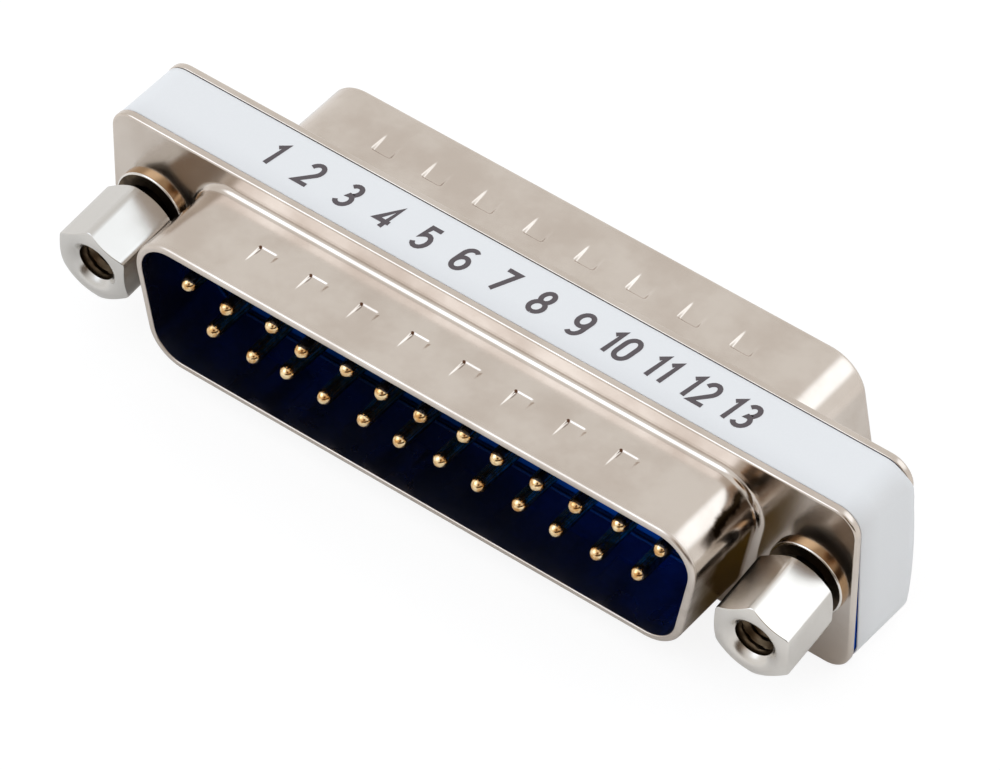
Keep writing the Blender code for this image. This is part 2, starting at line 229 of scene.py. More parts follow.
DIMPLE_COUNT = 8
DIMPLE_PITCH = 0.00367
DIMPLE_MIDDLES = [(i - (DIMPLE_COUNT - 1) / 2) * DIMPLE_PITCH for i in range(DIMPLE_COUNT)]
DIMPLE_WIDTH = 0.0013
DIMPLE_START = FLANGE_FACE + 0.00233
DIMPLE_LENGTH = 0.002
DIMPLE_DEPTH = {False: 0.000125, True: 0.00021}
DIMPLE_RISE = {False: 0.0001, True: 0.00017}
DIMPLE_LEFT = {False: 0.00014, True: 0.00024}
DIMPLE_RIGHT = 0.00042
DIMPLE_STEP = 0.00028
DIMPLE_SHARES = (-0.65, -0.5, -0.38, -0.25, -0.12, 0, 0.12, 0.25, 0.38, 0.5, 0.65)
RIVET_SPACING = 0.04704
RIVET_PLACES = (-RIVET_SPACING / 2, RIVET_SPACING / 2)
RIVET_HOLE = 0.0043
CORNER_STEPS = 14
BEND_STEPS = 8
INNER_RIM_STEPS = 4
EDGE_STEPS = 6
BACK_STEPS = 3
ON_WALL = 1e-7


def arc(centre, radius, start, end, steps):
    """Points of an arc in a plane, from one angle to another in degrees."""
    angles = [radians(start + (end - start) * i / steps) for i in range(steps + 1)]
    return [(centre[0] + radius * cos(a), centre[1] + radius * sin(a)) for a in angles]


def rounded_rectangle(inset):
    """The flange's outline in x and z, drawn in from its edge by the inset."""
    x = FLANGE_LENGTH / 2 - FLANGE_CORNER
    z = FLANGE_HEIGHT / 2 - FLANGE_CORNER
    points = []
    for centre, start in (((x, z), 90), ((x, -z), 0), ((-x, -z), -90), ((-x, z), 180)):
        points += arc(centre, FLANGE_CORNER - inset, start, start - 90, CORNER_STEPS)
    return points


def dimple_lines(rear):
    """The x of the grid lines along a long wall, close together at the dimples' sides."""
    lines = []
    for middle in DIMPLE_MIDDLES:
        for side, run in ((-1, DIMPLE_LEFT[rear]), (1, DIMPLE_RIGHT)):
            edge = middle + side * DIMPLE_WIDTH / 2
            lines += [edge + run * share for share in DIMPLE_SHARES]
    return sorted(lines)


def mouth_outline(offset, lines=()):
    """The D outline of a shell's inner wall in x and z, grown outwards by the offset, with
    extra points along its two long walls."""
    slant = sin(MOUTH_SLANT)
    lean = cos(MOUTH_SLANT)
    corner = MOUTH_WIDTH / 2 + MOUTH_CORNER * ((1 + slant) / lean - 1)
    z = MOUTH_HEIGHT / 2 - MOUTH_CORNER
    wide = corner - MOUTH_CORNER * (1 + slant) / lean
    narrow = corner - (MOUTH_CORNER + (MOUTH_HEIGHT - MOUTH_CORNER) * slant) / lean
    side = -degrees(MOUTH_SLANT)
    radius = MOUTH_CORNER + offset
    points = [(x, z + radius) for x in lines]
    points += arc((wide, z), radius, 90, side, CORNER_STEPS)
    points += arc((narrow, -z), radius, side, -90, CORNER_STEPS)
    points += [(x, -z - radius) for x in reversed(lines)]
    points += arc((-narrow, -z), radius, -90, -180 - side, CORNER_STEPS)
    points += arc((-wide, z), radius, 180 - side, 90, CORNER_STEPS)
    return points


def circle(x, z, diameter, sides=64):
    turns = [tau * i / sides for i in range(sides)]
    return [(x + diameter / 2 * cos(t), z + diameter / 2 * sin(t)) for t in turns]


def add_ring(bm, outline, y):
    return [bm.verts.new((x, y, z)) for x, z in outline]


def bridge_all(bm, rings):
    """Bands of faces between rings with the same number of points."""
    for first, second in zip(rings, rings[1:]):
        for i in range(len(first)):
            j = (i + 1) % len(first)
            bm.faces.new((first[i], first[j], second[j], second[i]))


def leave_bare(bm, rings):
    """Gives the faces between these rings the piece's second, darker metal, which is painted
    shade.
    """
    bare = {vert for ring in rings for vert in ring}
    for face in bm.faces:
        if bare.issuperset(face.verts):
            face.material_index = 1


def fill_flat(bm, rings):
    """A flat face with holes, from its outer ring and the rings of its holes."""
    edges = []
    for ring in rings:
        for i, vert in enumerate(ring):
            edges.append(bm.edges.get((vert, ring[(i + 1) % len(ring)])))
    bmesh.ops.triangle_fill(bm, use_beauty=True, edges=edges)


def finished_piece(name, bm, materials, sharp=40, rear=False):
    """An object at the origin from a mesh drawn round the middle of the flanges."""
    if rear:
        bmesh.ops.rotate(bm, matrix=Matrix.Rotation(pi, 3, "X"), verts=bm.verts)
    bmesh.ops.translate(bm, vec=(0, 0, CENTRE_HEIGHT), verts=bm.verts)
    bmesh.ops.recalc_face_normals(bm, faces=bm.faces)
    mesh = bpy.data.meshes.new(name)
    bm.to_mesh(mesh)
    bm.free()
    for material in materials:
        mesh.materials.append(material)
    mesh.shade_smooth()
    mesh.set_sharp_from_angle(angle=radians(sharp))
    piece = bpy.data.objects.new(name, mesh)
    scene.collection.objects.link(piece)
    return piece


def stepped(value, edge, run):
    """A smooth step from 0 to 1 across a run centred on an edge."""
    share = min(max((value - edge) / run + 0.5, 0), 1)
    return share * share * (3 - 2 * share)


def dimple_share(x, depth, left):
    """How far a dimple is pressed in at a place on the wall, from 0 to 1."""
    run = (depth - DIMPLE_START) / DIMPLE_LENGTH
    ramp = stepped(depth, DIMPLE_START, DIMPLE_STEP) * (1 - min(max(run, 0), 1))
    across = 0
    half = DIMPLE_WIDTH / 2
    for middle in DIMPLE_MIDDLES:
        across += stepped(x, middle - half, left) - stepped(x, middle + half, DIMPLE_RIGHT)
    return ramp * across


def shell_section(rear):
    """The sheet's section as (offset, depth, press) points. The offset is out from the inner
    wall, the depth forward from the middle, and the press how deep a dimple goes there."""
    root = SHEET + ROOT_FILLET
    bend = FLANGE_FACE + ROOT_FILLET
    steps = [DIMPLE_START + DIMPLE_STEP * share for share in DIMPLE_SHARES]
    ramp = [DIMPLE_START + DIMPLE_LENGTH * share for share in DIMPLE_RUN]
    outer = [(root + SUPPORT, FLANGE_FACE)]
    outer += arc((root, bend), ROOT_FILLET, 270, 180, BEND_STEPS)
    walls = steps + ramp
    points = [(offset, depth, 0) for offset, depth in outer]
    points += [(SHEET, depth, DIMPLE_DEPTH[rear]) for depth in walls]
    rim = arc((SHEET - RIM_OUTER_ROUND, RIM_FACE - RIM_OUTER_ROUND), RIM_OUTER_ROUND,
              0, 90, BEND_STEPS)
    rim += arc((RIM_INNER_ROUND, RIM_FACE - RIM_INNER_ROUND), RIM_INNER_ROUND,
               90, 180, INNER_RIM_STEPS)
    points += [(offset, depth, 0) for offset, depth in rim]
    points += [(0, depth, DIMPLE_RISE[rear]) for depth in reversed(walls)]
    inner = arc((root, bend), ROOT_FILLET + SHEET, 180, 270, BEND_STEPS)
    inner += [(root + SUPPORT, FLANGE_BACK)]
    points += [(offset, depth, 0) for offset, depth in inner]
    return points


def flange_edge_section():
    """The flange's outer edge as (inset, depth) points, rolled over on its front side."""
    points = [(EDGE_ROUND + SUPPORT, FLANGE_FACE)]
    points += arc((EDGE_ROUND, FLANGE_FACE - EDGE_ROUND), EDGE_ROUND, 90, 180, EDGE_STEPS)
    points += arc((BACK_ROUND, FLANGE_BACK + BACK_ROUND), BACK_ROUND, 180, 270, BACK_STEPS)
    return points + [(BACK_ROUND + SUPPORT, FLANGE_BACK)]


def drawn_shell(name, rear):
    bm = bmesh.new()
    tube = []
    inner = []
    for offset, depth, press in shell_section(rear):
        ring = []
        for x, z in mouth_outline(offset, dimple_lines(rear)):
            flat = abs(abs(z) - (MOUTH_HEIGHT / 2 + offset)) < ON_WALL
            sink = press * dimple_share(x, depth, DIMPLE_LEFT[rear]) if press and flat else 0
            ring.append(bm.verts.new((x, -depth, z - sink if z > 0 else z + sink)))
        tube.append(ring)
        if offset == 0:
            inner.append(ring)
    edge = [add_ring(bm, rounded_rectangle(inset), -depth)
            for inset, depth in flange_edge_section()]
    bridge_all(bm, tube)
    # The inner walls take the second metal: painted shade.
    leave_bare(bm, inner)
    bridge_all(bm, edge)
    holes = []
    for x in RIVET_PLACES:
        hole = [add_ring(bm, circle(x, 0, RIVET_HOLE), -y) for y in (FLANGE_FACE, FLANGE_BACK)]
        bridge_all(bm, hole)
        holes.append(hole)
    fill_flat(bm, [edge[0], tube[0]] + [hole[0] for hole in holes])
    fill_flat(bm, [edge[-1], tube[-1]] + [hole[1] for hole in holes])
    return finished_piece(name, bm, [nickel_sheet, shaded_nickel], rear=rear)


def group_tree(name, inputs, outputs):
    """An empty shader node group with its sockets, and its two end nodes."""
    tree = bpy.data.node_groups.new(name, "ShaderNodeTree")
    for label, kind, value in inputs:
        socket = tree.interface.new_socket(label, in_out="INPUT", socket_type=kind)
        if value is not None:
            socket.default_value = value
    for label, kind in outputs:
        tree.interface.new_socket(label, in_out="OUTPUT", socket_type=kind)
    return tree, tree.nodes.new("NodeGroupInput").outputs, tree.nodes.new("NodeGroupOutput")


def noise(tree, vector, scale, detail=3.0, roughness=0.55):
    return node(tree, "ShaderNodeTexNoise", Vector=vector, Scale=scale, Detail=detail,
                Roughness=roughness).outputs["Fac"]


# Plating group: broad soft clouds from handling, the fine orange peel of the plating and a
# few pits, as a tint from 0 to 1, a roughness and a height.
plating, given, result = group_tree(
    "plating",
    [("Vector", "NodeSocketVector", None), ("Cloud Scale", "NodeSocketFloat", 260.0),
     ("Peel Scale", "NodeSocketFloat", 5200.0), ("Roughness", "NodeSocketFloat", 0.2),
     ("Unevenness", "NodeSocketFloat", 0.06), ("Pits", "NodeSocketFloat", 0.5)],
    [("Tint", "NodeSocketFloat"), ("Roughness", "NodeSocketFloat"),
     ("Height", "NodeSocketFloat")],
)
CLOUD_SPREAD = (0.32, 0.68)
CLOUD_RELIEF = 0.6
PIT_SCALE = 620.0
PIT_EDGE = (0.02, 0.05)
PIT_CHANCE = (0.93, 0.95)
clouds = noise(plating, given["Vector"], given["Cloud Scale"], 4.0)
peel = noise(plating, given["Vector"], given["Peel Scale"], 2.0)
spread = smooth_step(plating, clouds, *CLOUD_SPREAD)
spots = node(plating, "ShaderNodeTexVoronoi", {"feature": "F1"}, Vector=given["Vector"],
             Scale=PIT_SCALE, Randomness=1.0)
pit = smooth_step(plating, spots.outputs["Distance"], *PIT_EDGE, 1, 0)
chance = node(plating, "ShaderNodeSeparateColor", Color=spots.outputs["Color"]).outputs[0]
pit = product(plating, pit, smooth_step(plating, chance, *PIT_CHANCE), given["Pits"])
rough = maths(plating, "MULTIPLY_ADD", maths(plating, "SUBTRACT", spread, 0.5),
              given["Unevenness"], given["Roughness"])
height = maths(plating, "SUBTRACT", maths(plating, "MULTIPLY_ADD", clouds, CLOUD_RELIEF, peel),
               pit)
plating.links.new(maths(plating, "ADD", spread, pit), result.inputs["Tint"])
plating.links.new(rough, result.inputs["Roughness"])
plating.links.new(height, result.inputs["Height"])


SCUFF_ROUGHNESS = 0.12
METAL_RELIEF = 0.35


def new_paint(name):
    """A material, its node tree, its shader and the place on the object."""
    material = bpy.data.materials.new(name)
    material.use_nodes = True
    tree = material.node_tree
    place = node(tree, "ShaderNodeTexCoord").outputs["Object"]
    return material, tree, tree.nodes["Principled BSDF"], place


def add_relief(tree, shader, strength, distance, height):
    relief = node(tree, "ShaderNodeBump", Strength=strength, Distance=distance, Height=height)
    tree.links.new(relief.outputs[0], shader.inputs["Normal"])


def add_finish(tree, shader, share, colours, gloss, roughness):
    """A colour between two by a share, and a roughness by a mask: its run, then its start."""
    tree.links.new(mixed(tree, share, *colours), shader.inputs["Base Color"])
    tree.links.new(maths(tree, "MULTIPLY_ADD", gloss, *roughness), shader.inputs["Roughness"])


def metal(name, bright, dull, roughness, unevenness, bump, pits=0.5, cloud_scale=260.0,
          painted_shades=(), scuffs=None, shade_edge_tint=None):
    """A plated metal whose colour, gloss and surface vary through the plating group. Each
    painted shade is a colour with the function that builds its mask: painted shade or a
    painted dark reflection laid into the colour. Scuffs is such a function for where the metal
    is duller. The shade edge tint tints what the painted shades reflect at a slant."""
    material, tree, shader, place = new_paint(name)
    plate = node(tree, "ShaderNodeGroup", {"node_tree": plating}, Vector=place,
                 Cloud_Scale=cloud_scale, Roughness=roughness, Unevenness=unevenness, Pits=pits)
    colour = mixed(tree, plate.outputs["Tint"], bright, dull)
    edge = (1.0, 1.0, 1.0)
    # Painted shade: each mask lays a darker colour into the metal.
    for shade_colour, mask in painted_shades:
        share = mask(tree, place)
        colour = mixed(tree, share, colour, shade_colour)
        if shade_edge_tint:
            edge = mixed(tree, share, edge, shade_edge_tint)
    if shade_edge_tint:
        tree.links.new(edge, shader.inputs["Specular Tint"])
    rough = plate.outputs["Roughness"]
    if scuffs:
        rough = maths(tree, "MULTIPLY_ADD", scuffs(tree, place), SCUFF_ROUGHNESS, rough)
    tree.links.new(colour, shader.inputs["Base Color"])
    tree.links.new(rough, shader.inputs["Roughness"])
    add_relief(tree, shader, METAL_RELIEF, bump, plate.outputs["Height"])
    shader.inputs["Metallic"].default_value = 1.0
    return material


# Painted shade on the front shell, as masks by place: a painted dark reflection on its right
# flank and painted shade in its dimples' deep corners. Each pair of values is where a mask
# starts and where it is full, or where it starts to fade and where it is gone.
FLANK_SHADE_GRAIN = 700.0
FLANK_SHADE_DRIFT_Y = 0.0024
FLANK_SHADE_DRIFT_Z = 0.002
FLANK_SHADE_REACH = (-0.0078, -0.0049)
FLANK_SHADE_TOP = (0.0086, 0.0097)
FLANK_SHADE_SIDE = (0.0178, 0.0187)
FLANK_SHADE_WALL = (-0.0034, -0.0030)
BLOT_SHADE_GRAIN = 900.0
BLOT_SHADE_SLOPE = 0.12
BLOT_SHADE_DRIFT_Z = 0.0008
BLOT_SHADE_DRIFT_Y = 0.002
BLOT_SHADE_HEIGHT = 0.01103
BLOT_SHADE_WIDTH = (0.0001, 0.00036)
BLOT_SHADE_REACH = (-0.0064, -0.0050)
BLOT_SHADE_SIDE = (0.0186, 0.0190)
BLOT_SHADE_WALL = (-0.0033, -0.0029)


def root_stain(tree, place):
    """1 where a dark brown reflection is painted, spreading out of the front plug's root on its
    right flank.
    """
    parts = node(tree, "ShaderNodeSeparateXYZ", Vector=place).outputs
    drift = noise(tree, place, FLANK_SHADE_GRAIN, 4.0, 0.6)
    ahead = maths(tree, "MULTIPLY_ADD", drift, FLANK_SHADE_DRIFT_Y, parts["Y"])
    above = maths(tree, "MULTIPLY_ADD", drift, FLANK_SHADE_DRIFT_Z, parts["Z"])
    return product(tree, smooth_step(tree, ahead, *FLANK_SHADE_REACH),
                   smooth_step(tree, above, *FLANK_SHADE_TOP, 1, 0),
                   smooth_step(tree, parts["X"], *FLANK_SHADE_SIDE),
                   smooth_step(tree, parts["Y"], *FLANK_SHADE_WALL, 1, 0))


def root_burn(tree, place):
    """1 on the black blots of a painted dark reflection along the same flank's upper corner."""
    parts = node(tree, "ShaderNodeSeparateXYZ", Vector=place).outputs
    blots = noise(tree, place, BLOT_SHADE_GRAIN, 5.0, 0.65)
    height = maths(tree, "MULTIPLY_ADD", parts["Y"], -BLOT_SHADE_SLOPE, parts["Z"])
    height = maths(tree, "MULTIPLY_ADD", blots, BLOT_SHADE_DRIFT_Z, height)
    beside = maths(tree, "ABSOLUTE", maths(tree, "SUBTRACT", height, BLOT_SHADE_HEIGHT))
    reach = maths(tree, "MULTIPLY_ADD", blots, BLOT_SHADE_DRIFT_Y, parts["Y"])
    return product(tree, smooth_step(tree, beside, *BLOT_SHADE_WIDTH, 1, 0),
                   smooth_step(tree, reach, *BLOT_SHADE_REACH),
                   smooth_step(tree, parts["X"], *BLOT_SHADE_SIDE),
                   smooth_step(tree, parts["Y"], *BLOT_SHADE_WALL, 1, 0))


# Painted shade in the dimples' deep corners, with a fainter painted streak.
CORNER_SHADE_X = 0.00002
CORNER_SHADE_Y = 0.00004
CORNER_SHADE_EDGE = (0.00007, 0.00013)
STREAK_X = 0.00008
STREAK_Y = 0.0003
STREAK_SQUEEZE = 0.16
STREAK_EDGE = (0.00002, 0.00008)
STREAK_SHARE = 0.55
CORNER_SHADE_TOP = (CENTRE_HEIGHT + 0.004, CENTRE_HEIGHT + 0.0042)
CORNER_SHADE_WIDE = (0.0150, 0.0152)
SCUFF_REACH = (RIM_FACE - 0.0005, RIM_FACE - 0.0002)


def dimple_dirt(tree, place):
    """1 in the deep left corner of each dimple on the front plug, where shade is painted, and
    less along a streak of painted shade that runs forward from it."""
    def spot(x, y, edge, full):
        away = node(tree, "ShaderNodeVectorMath", {"operation": "LENGTH"},
                    _0=node(tree, "ShaderNodeCombineXYZ", X=x, Y=y).outputs[0])
        return smooth_step(tree, away.outputs["Value"], *edge, full, 0)

    parts = node(tree, "ShaderNodeSeparateXYZ", Vector=place).outputs
    first = DIMPLE_MIDDLES[0] - DIMPLE_WIDTH / 2
    beside = maths(tree, "SUBTRACT", parts["X"], first + CORNER_SHADE_X)
    beside = maths(tree, "WRAP", beside, DIMPLE_PITCH / 2, -DIMPLE_PITCH / 2)
    ahead = maths(tree, "SUBTRACT", -DIMPLE_START - CORNER_SHADE_Y, parts["Y"])
    streak_y = product(tree, maths(tree, "SUBTRACT", ahead, STREAK_Y), STREAK_SQUEEZE)
    corner_shade = maths(tree, "MAXIMUM", spot(beside, ahead, CORNER_SHADE_EDGE, 1),
                 spot(maths(tree, "SUBTRACT", beside, STREAK_X), streak_y, STREAK_EDGE,
                      STREAK_SHARE))
    return product(tree, corner_shade, smooth_step(tree, parts["Z"], *CORNER_SHADE_TOP),
                   smooth_step(tree, maths(tree, "ABSOLUTE", parts["X"]), *CORNER_SHADE_WIDE, 1, 0))


def depth_of(tree, place):
    """How far a place lies from the middle, towards either plug."""
    across = node(tree, "ShaderNodeSeparateXYZ", Vector=place).outputs["Y"]
    return maths(tree, "ABSOLUTE", across)


def rim_scuffs(tree, place):
    """1 on the rims of both mouths, rubbed dull by the sockets that have been plugged in."""
    return smooth_step(tree, depth_of(tree, place), *SCUFF_REACH)


# The sheet's colour carries painted shade: a painted dark reflection on the front plug's right
# flank and painted shade in its dimples' corners.
nickel_sheet = metal("nickel_sheet", bright=(0.64, 0.572, 0.51), dull=(0.56, 0.488, 0.425),
                     roughness=0.19, unevenness=0.06, bump=0.000002, scuffs=rim_scuffs,
                     shade_edge_tint=(0.63, 0.53, 0.4),
                     painted_shades=(((0.065, 0.042, 0.018), root_stain),
                             ((0.035, 0.024, 0.012), root_burn),
                             ((0.09, 0.04, 0.02), dimple_dirt)))
# Inner walls of the shells: painted shade, tinted as a painted blue reflection of the navy
# core.
shaded_nickel = metal("shaded_nickel", bright=(0.11, 0.13, 0.23), dull=(0.07, 0.085, 0.15),
                      roughness=0.3, unevenness=0.1, bump=0.000002)
for name, rear in (("front_shell", False), ("rear_shell", True)):
    shell = drawn_shell(name + "_drawn", rear)
    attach(shell, "root")
    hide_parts(name)

# Band: a strip of white tape wound round the core between the flanges, its front edge hard
# against the front sheet. Its right end was wound a little askew, so the core shows there.
# A place on the right end is a height from the middle, with the run of a step centred on it.
BAND_INSET = 0.00004
BAND_THICKNESS = 0.00009
BAND_EDGE = FLANGE_BACK - 0.00005
BAND_STEP = 0.0008
BAND_SHARES = (0.35, 0.7, 0.88)
FRONT_SKEW = 0.00038
REAR_SKEW = 0.00046
REAR_LIFT = 0.00014
FOOT_SINK = 0.6
BAND_SWELL = 0.0002
SWELL_MIDDLE = -0.0008
SWELL_HALF = 0.0042
SKEW_RUN = FLANGE_HEIGHT * 1.1
UNDER_EDGE = 0.019
UNDER_RUN = 0.012
RIDE_TOP = 0.0051
RIDE_RUN = 0.0022
RAISE_TOP = 0.0052
RAISE_RUN = 0.0021
FOOT_EDGE = 0.005
FOOT_RUN = 0.0015
FIBRE_SCALE = 9000.0
SHEEN_SCALE = 400.0
TAPE_COLOURS = ((0.735, 0.747, 0.76), (0.77, 0.779, 0.793))
TAPE_ROUGHNESS = (0.12, 0.36)
TAPE_SPECULAR = 0.35


def band_outline(inset):
    """The flange's outline with extra points, so that the band's edges can wander."""
    corners = rounded_rectangle(inset)
    points = []
    for i, (x, z) in enumerate(corners):
        next_x, next_z = corners[(i + 1) % len(corners)]
        parts = max(1, round(sqrt((next_x - x) ** 2 + (next_z - z) ** 2) / BAND_STEP))
        points += [(x + (next_x - x) * k / parts, z + (next_z - z) * k / parts)
                   for k in range(parts)]
    return points


def band_ring(bm, inset, y, rear_share):
    """A ring of the band. On the right end its front edge slopes back towards its foot, and
    its rear edge rides up on the edge of the rear flange and swells a little."""
    ring = []
    for x, z in band_outline(inset):
        right = stepped(x, FLANGE_LENGTH / 2 - FLANGE_CORNER / 2, FLANGE_CORNER)
        under = stepped(x, UNDER_EDGE, UNDER_RUN) if z < 0 else 0
        end = max(right, under)
        low = stepped(-z, 0, SKEW_RUN)
        beside = stepped(-z, -RIDE_TOP, RIDE_RUN)
        slip = FRONT_SKEW * low * (1 - rear_share) + REAR_SKEW * beside * rear_share
        raised = stepped(-z, -RAISE_TOP, RAISE_RUN)
        swell = BAND_SWELL * max(0, 1 - ((z - SWELL_MIDDLE) / SWELL_HALF) ** 2)
        foot = 1 - FOOT_SINK * stepped(-z, FOOT_EDGE, FOOT_RUN)
        out = right * raised * rear_share * (REAR_LIFT * foot + swell)
        ring.append(bm.verts.new((x + out, y + end * slip, z)))
    return ring


bm = bmesh.new()
edge_round = BAND_THICKNESS / 3
width = 2 * BAND_EDGE
inside = BAND_INSET + BAND_THICKNESS
section = [(inside, 0), (BAND_INSET + edge_round, 0)]
section += [(BAND_INSET, share)
            for share in (edge_round / width, *BAND_SHARES, 1 - edge_round / width)]
section += [(BAND_INSET + edge_round, 1), (inside, 1)]
section += [(inside, share) for share in reversed(BAND_SHARES)]
rings = [band_ring(bm, inset, -BAND_EDGE + share * width, share) for inset, share in section]
bridge_all(bm, rings + rings[:1])

tape, tree, shader, place = new_paint("white_tape")
fibre = noise(tree, place, FIBRE_SCALE, 3.0, 0.7)
sheen = noise(tree, place, SHEEN_SCALE)
add_finish(tree, shader, fibre, TAPE_COLOURS, sheen, TAPE_ROUGHNESS)
add_relief(tree, shader, strength=0.25, distance=0.000004, height=fibre)
shader.inputs["Specular IOR Level"].default_value = TAPE_SPECULAR
band = finished_piece("label_band_tape", bm, [tape], sharp=60)
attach(band, "root")
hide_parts("label_band")

# Numbers on the band: the long row's contact numbers in dark grey ink, one above each
# contact, as thin as print but with a real edge.
CONTACT_PITCH = 0.00277
LONG_ROW = 13
SHORT_ROW = 12
FIGURE_HEIGHT = 0.00185
FIGURE_WIDTH = 0.82
FIGURE_ADVANCE = 0.58
FIGURE_SLANT = 0.15
FIGURE_STROKE = 0.00031
FIGURE_GAP = 0.34
FIGURE_LIFT = 0.000002
MITRE_LIMIT = 0.45
INK_THICKNESS = 0.00001
INK_SCALE = 7000.0
INK_COLOURS = ((0.062, 0.048, 0.055), (0.10, 0.082, 0.09))
INK_ROUGHNESS = (0.2, 0.4)
BAND_TOP = FLANGE_HEIGHT - BAND_INSET


def bow(x, z, across, up, start, end, steps=12):
    """Points of a bowed stroke round a centre, from one angle to another in degrees."""
    turns = [radians(start + (end - start) * i / steps) for i in range(steps + 1)]
    return [(x + across * cos(t), z + up * sin(t)) for t in turns]


FIGURES = {
    "0": [bow(0.29, 0.69, 0.27, 0.29, 0, 180) + bow(0.29, 0.29, 0.27, 0.27, 180, 360)
          + [(0.56, 0.69)]],
    "1": [[(0.02, 0.8), (0.24, 0.98), (0.24, 0)]],
    "2": [bow(0.28, 0.7, 0.26, 0.28, 165, -35) + [(0.02, 0), (0.58, 0)]],
    "3": [bow(0.27, 0.75, 0.24, 0.24, 150, -85) + bow(0.27, 0.26, 0.28, 0.26, 85, -150)],
    "4": [[(0.44, 0), (0.44, 0.98), (0, 0.27), (0.62, 0.27)]],
    "5": [[(0.54, 0.98), (0.1, 0.98), (0.06, 0.52)] + bow(0.28, 0.32, 0.28, 0.31, 125, -150)],
    "6": [bow(0.3, 0.7, 0.27, 0.28, 50, 180) + bow(0.3, 0.29, 0.27, 0.28, 180, 540, 22)],
    "7": [[(0.02, 0.98), (0.56, 0.98), (0.2, 0)]],
    "8": [bow(0.29, 0.74, 0.22, 0.24, -90, 270, 20), bow(0.29, 0.26, 0.28, 0.25, -90, 270, 20)],
    "9": [bow(0.27, 0.28, 0.27, 0.28, -130, 0) + bow(0.27, 0.69, 0.27, 0.28, 0, 360, 22)],
}
NARROW = {"1": 0.24}


def draw_stroke(bm, points, width, lift):
    """A strip of even width along the points, with square ends. It rises by a hair on its
    way, so that strokes can cross."""
    rails = []
    for i, here in enumerate(points):
        before = (here - points[i - 1]).normalized() if i else None
        after = (points[i + 1] - here).normalized() if i + 1 < len(points) else None
        along = ((before or after) + (after or before)).normalized()
        square = Vector((-along.y, along.x))
        reach = width / 2 / max(MITRE_LIMIT, along.dot(after or before))
        z = lift + FIGURE_LIFT * i / len(points)
        rails.append([bm.verts.new((*(here + square * side * reach), z)) for side in (-1, 1)])
    return [bm.faces.new((a[0], b[0], b[1], a[1])) for a, b in zip(rails, rails[1:])]


ink, tree, shader, place = new_paint("grey_ink")
wear = noise(tree, place, INK_SCALE, 3.0, 0.7)
add_finish(tree, shader, wear, INK_COLOURS, wear, INK_ROUGHNESS)
bm = bmesh.new()
strokes = []
for number in range(1, LONG_ROW + 1):
    digits = str(number)
    steps = [NARROW.get(digit, FIGURE_ADVANCE) + FIGURE_GAP for digit in digits]
    pen = -(sum(steps) - FIGURE_GAP) / 2
    middle = (number - 1 - (LONG_ROW - 1) / 2) * CONTACT_PITCH
    for digit, step in zip(digits, steps):
        for layer, path in enumerate(FIGURES[digit]):
            points = [(FIGURE_WIDTH * (pen + x) + FIGURE_SLANT * (up - 0.5), up - 0.5)
                      for x, up in path]
            points = [Vector((middle + FIGURE_HEIGHT * x, FIGURE_HEIGHT * up))
                      for x, up in points]
            strokes += draw_stroke(bm, points, FIGURE_STROKE, FIGURE_LIFT * layer)
        pen += step
bm.normal_update()
bmesh.ops.reverse_faces(bm, faces=[face for face in strokes if face.normal.z < 0])
bm.normal_update()
bmesh.ops.solidify(bm, geom=strokes, thickness=INK_THICKNESS)
lowest = min(vert.co.z for vert in bm.verts)
bmesh.ops.translate(bm, vec=(0, 0, BAND_TOP - CENTRE_HEIGHT + INK_THICKNESS / 2 - lowest),
                    verts=bm.verts)
figures = finished_piece("band_figures", bm, [ink], sharp=30)
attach(figures, "root")

# Core: two moulded halves in glossy navy plastic. Each has a plate that fills the space
# between the flanges and a raised D in the shell's root, drilled for the contacts.
CORE_INSET = BAND_INSET + BAND_THICKNESS + 0.00006
CORE_SPLIT = 0.00008
CORE_FACE = FLANGE_BACK - 0.00002
FLOOR_FACE = FLANGE_FACE + 0.0001
FLOOR_ROUND = 0.00012
FLOOR_GAP = 0.00012
ROW_SPACING = 0.00284
SOCKET_RIM = 0.0017
SOCKET_TAPER = 0.00005
SOCKET_BORE = 0.00132
SOCKET_MOUTH = SOCKET_BORE + 0.00016
SOCKET_CHAMFER = 0.00008
SOCKET_RISE = 0.00012
SOCKET_FLOOR = 0.0009
SOCKET_SIDES = 24
SWIRL_SCALE = 170.0
GRAIN_SCALE = 6500.0
FLOW_SWIRL = (0.42, 0.6)
LIT_RIGHT = (0.001, 0.013)
LIT_LEFT = (-0.0178, -0.0168)
SWIRL_SHARE = 0.3
LIT_SHARE = 0.7
NAVY_COLOURS = ((0.0001, 0.020, 0.10), (0.0003, 0.072, 0.50))
NAVY_ROUGHNESS = (0.1, 0.3)
NAVY_SPECULAR = 0.035


def contact_places():
    """The contacts' x and z on the front plug, the long upper row first."""
    places = []
    for count, side in ((LONG_ROW, 1), (SHORT_ROW, -1)):
        places += [((i - (count - 1) / 2) * CONTACT_PITCH, side * ROW_SPACING / 2)
                   for i in range(count)]
    return places


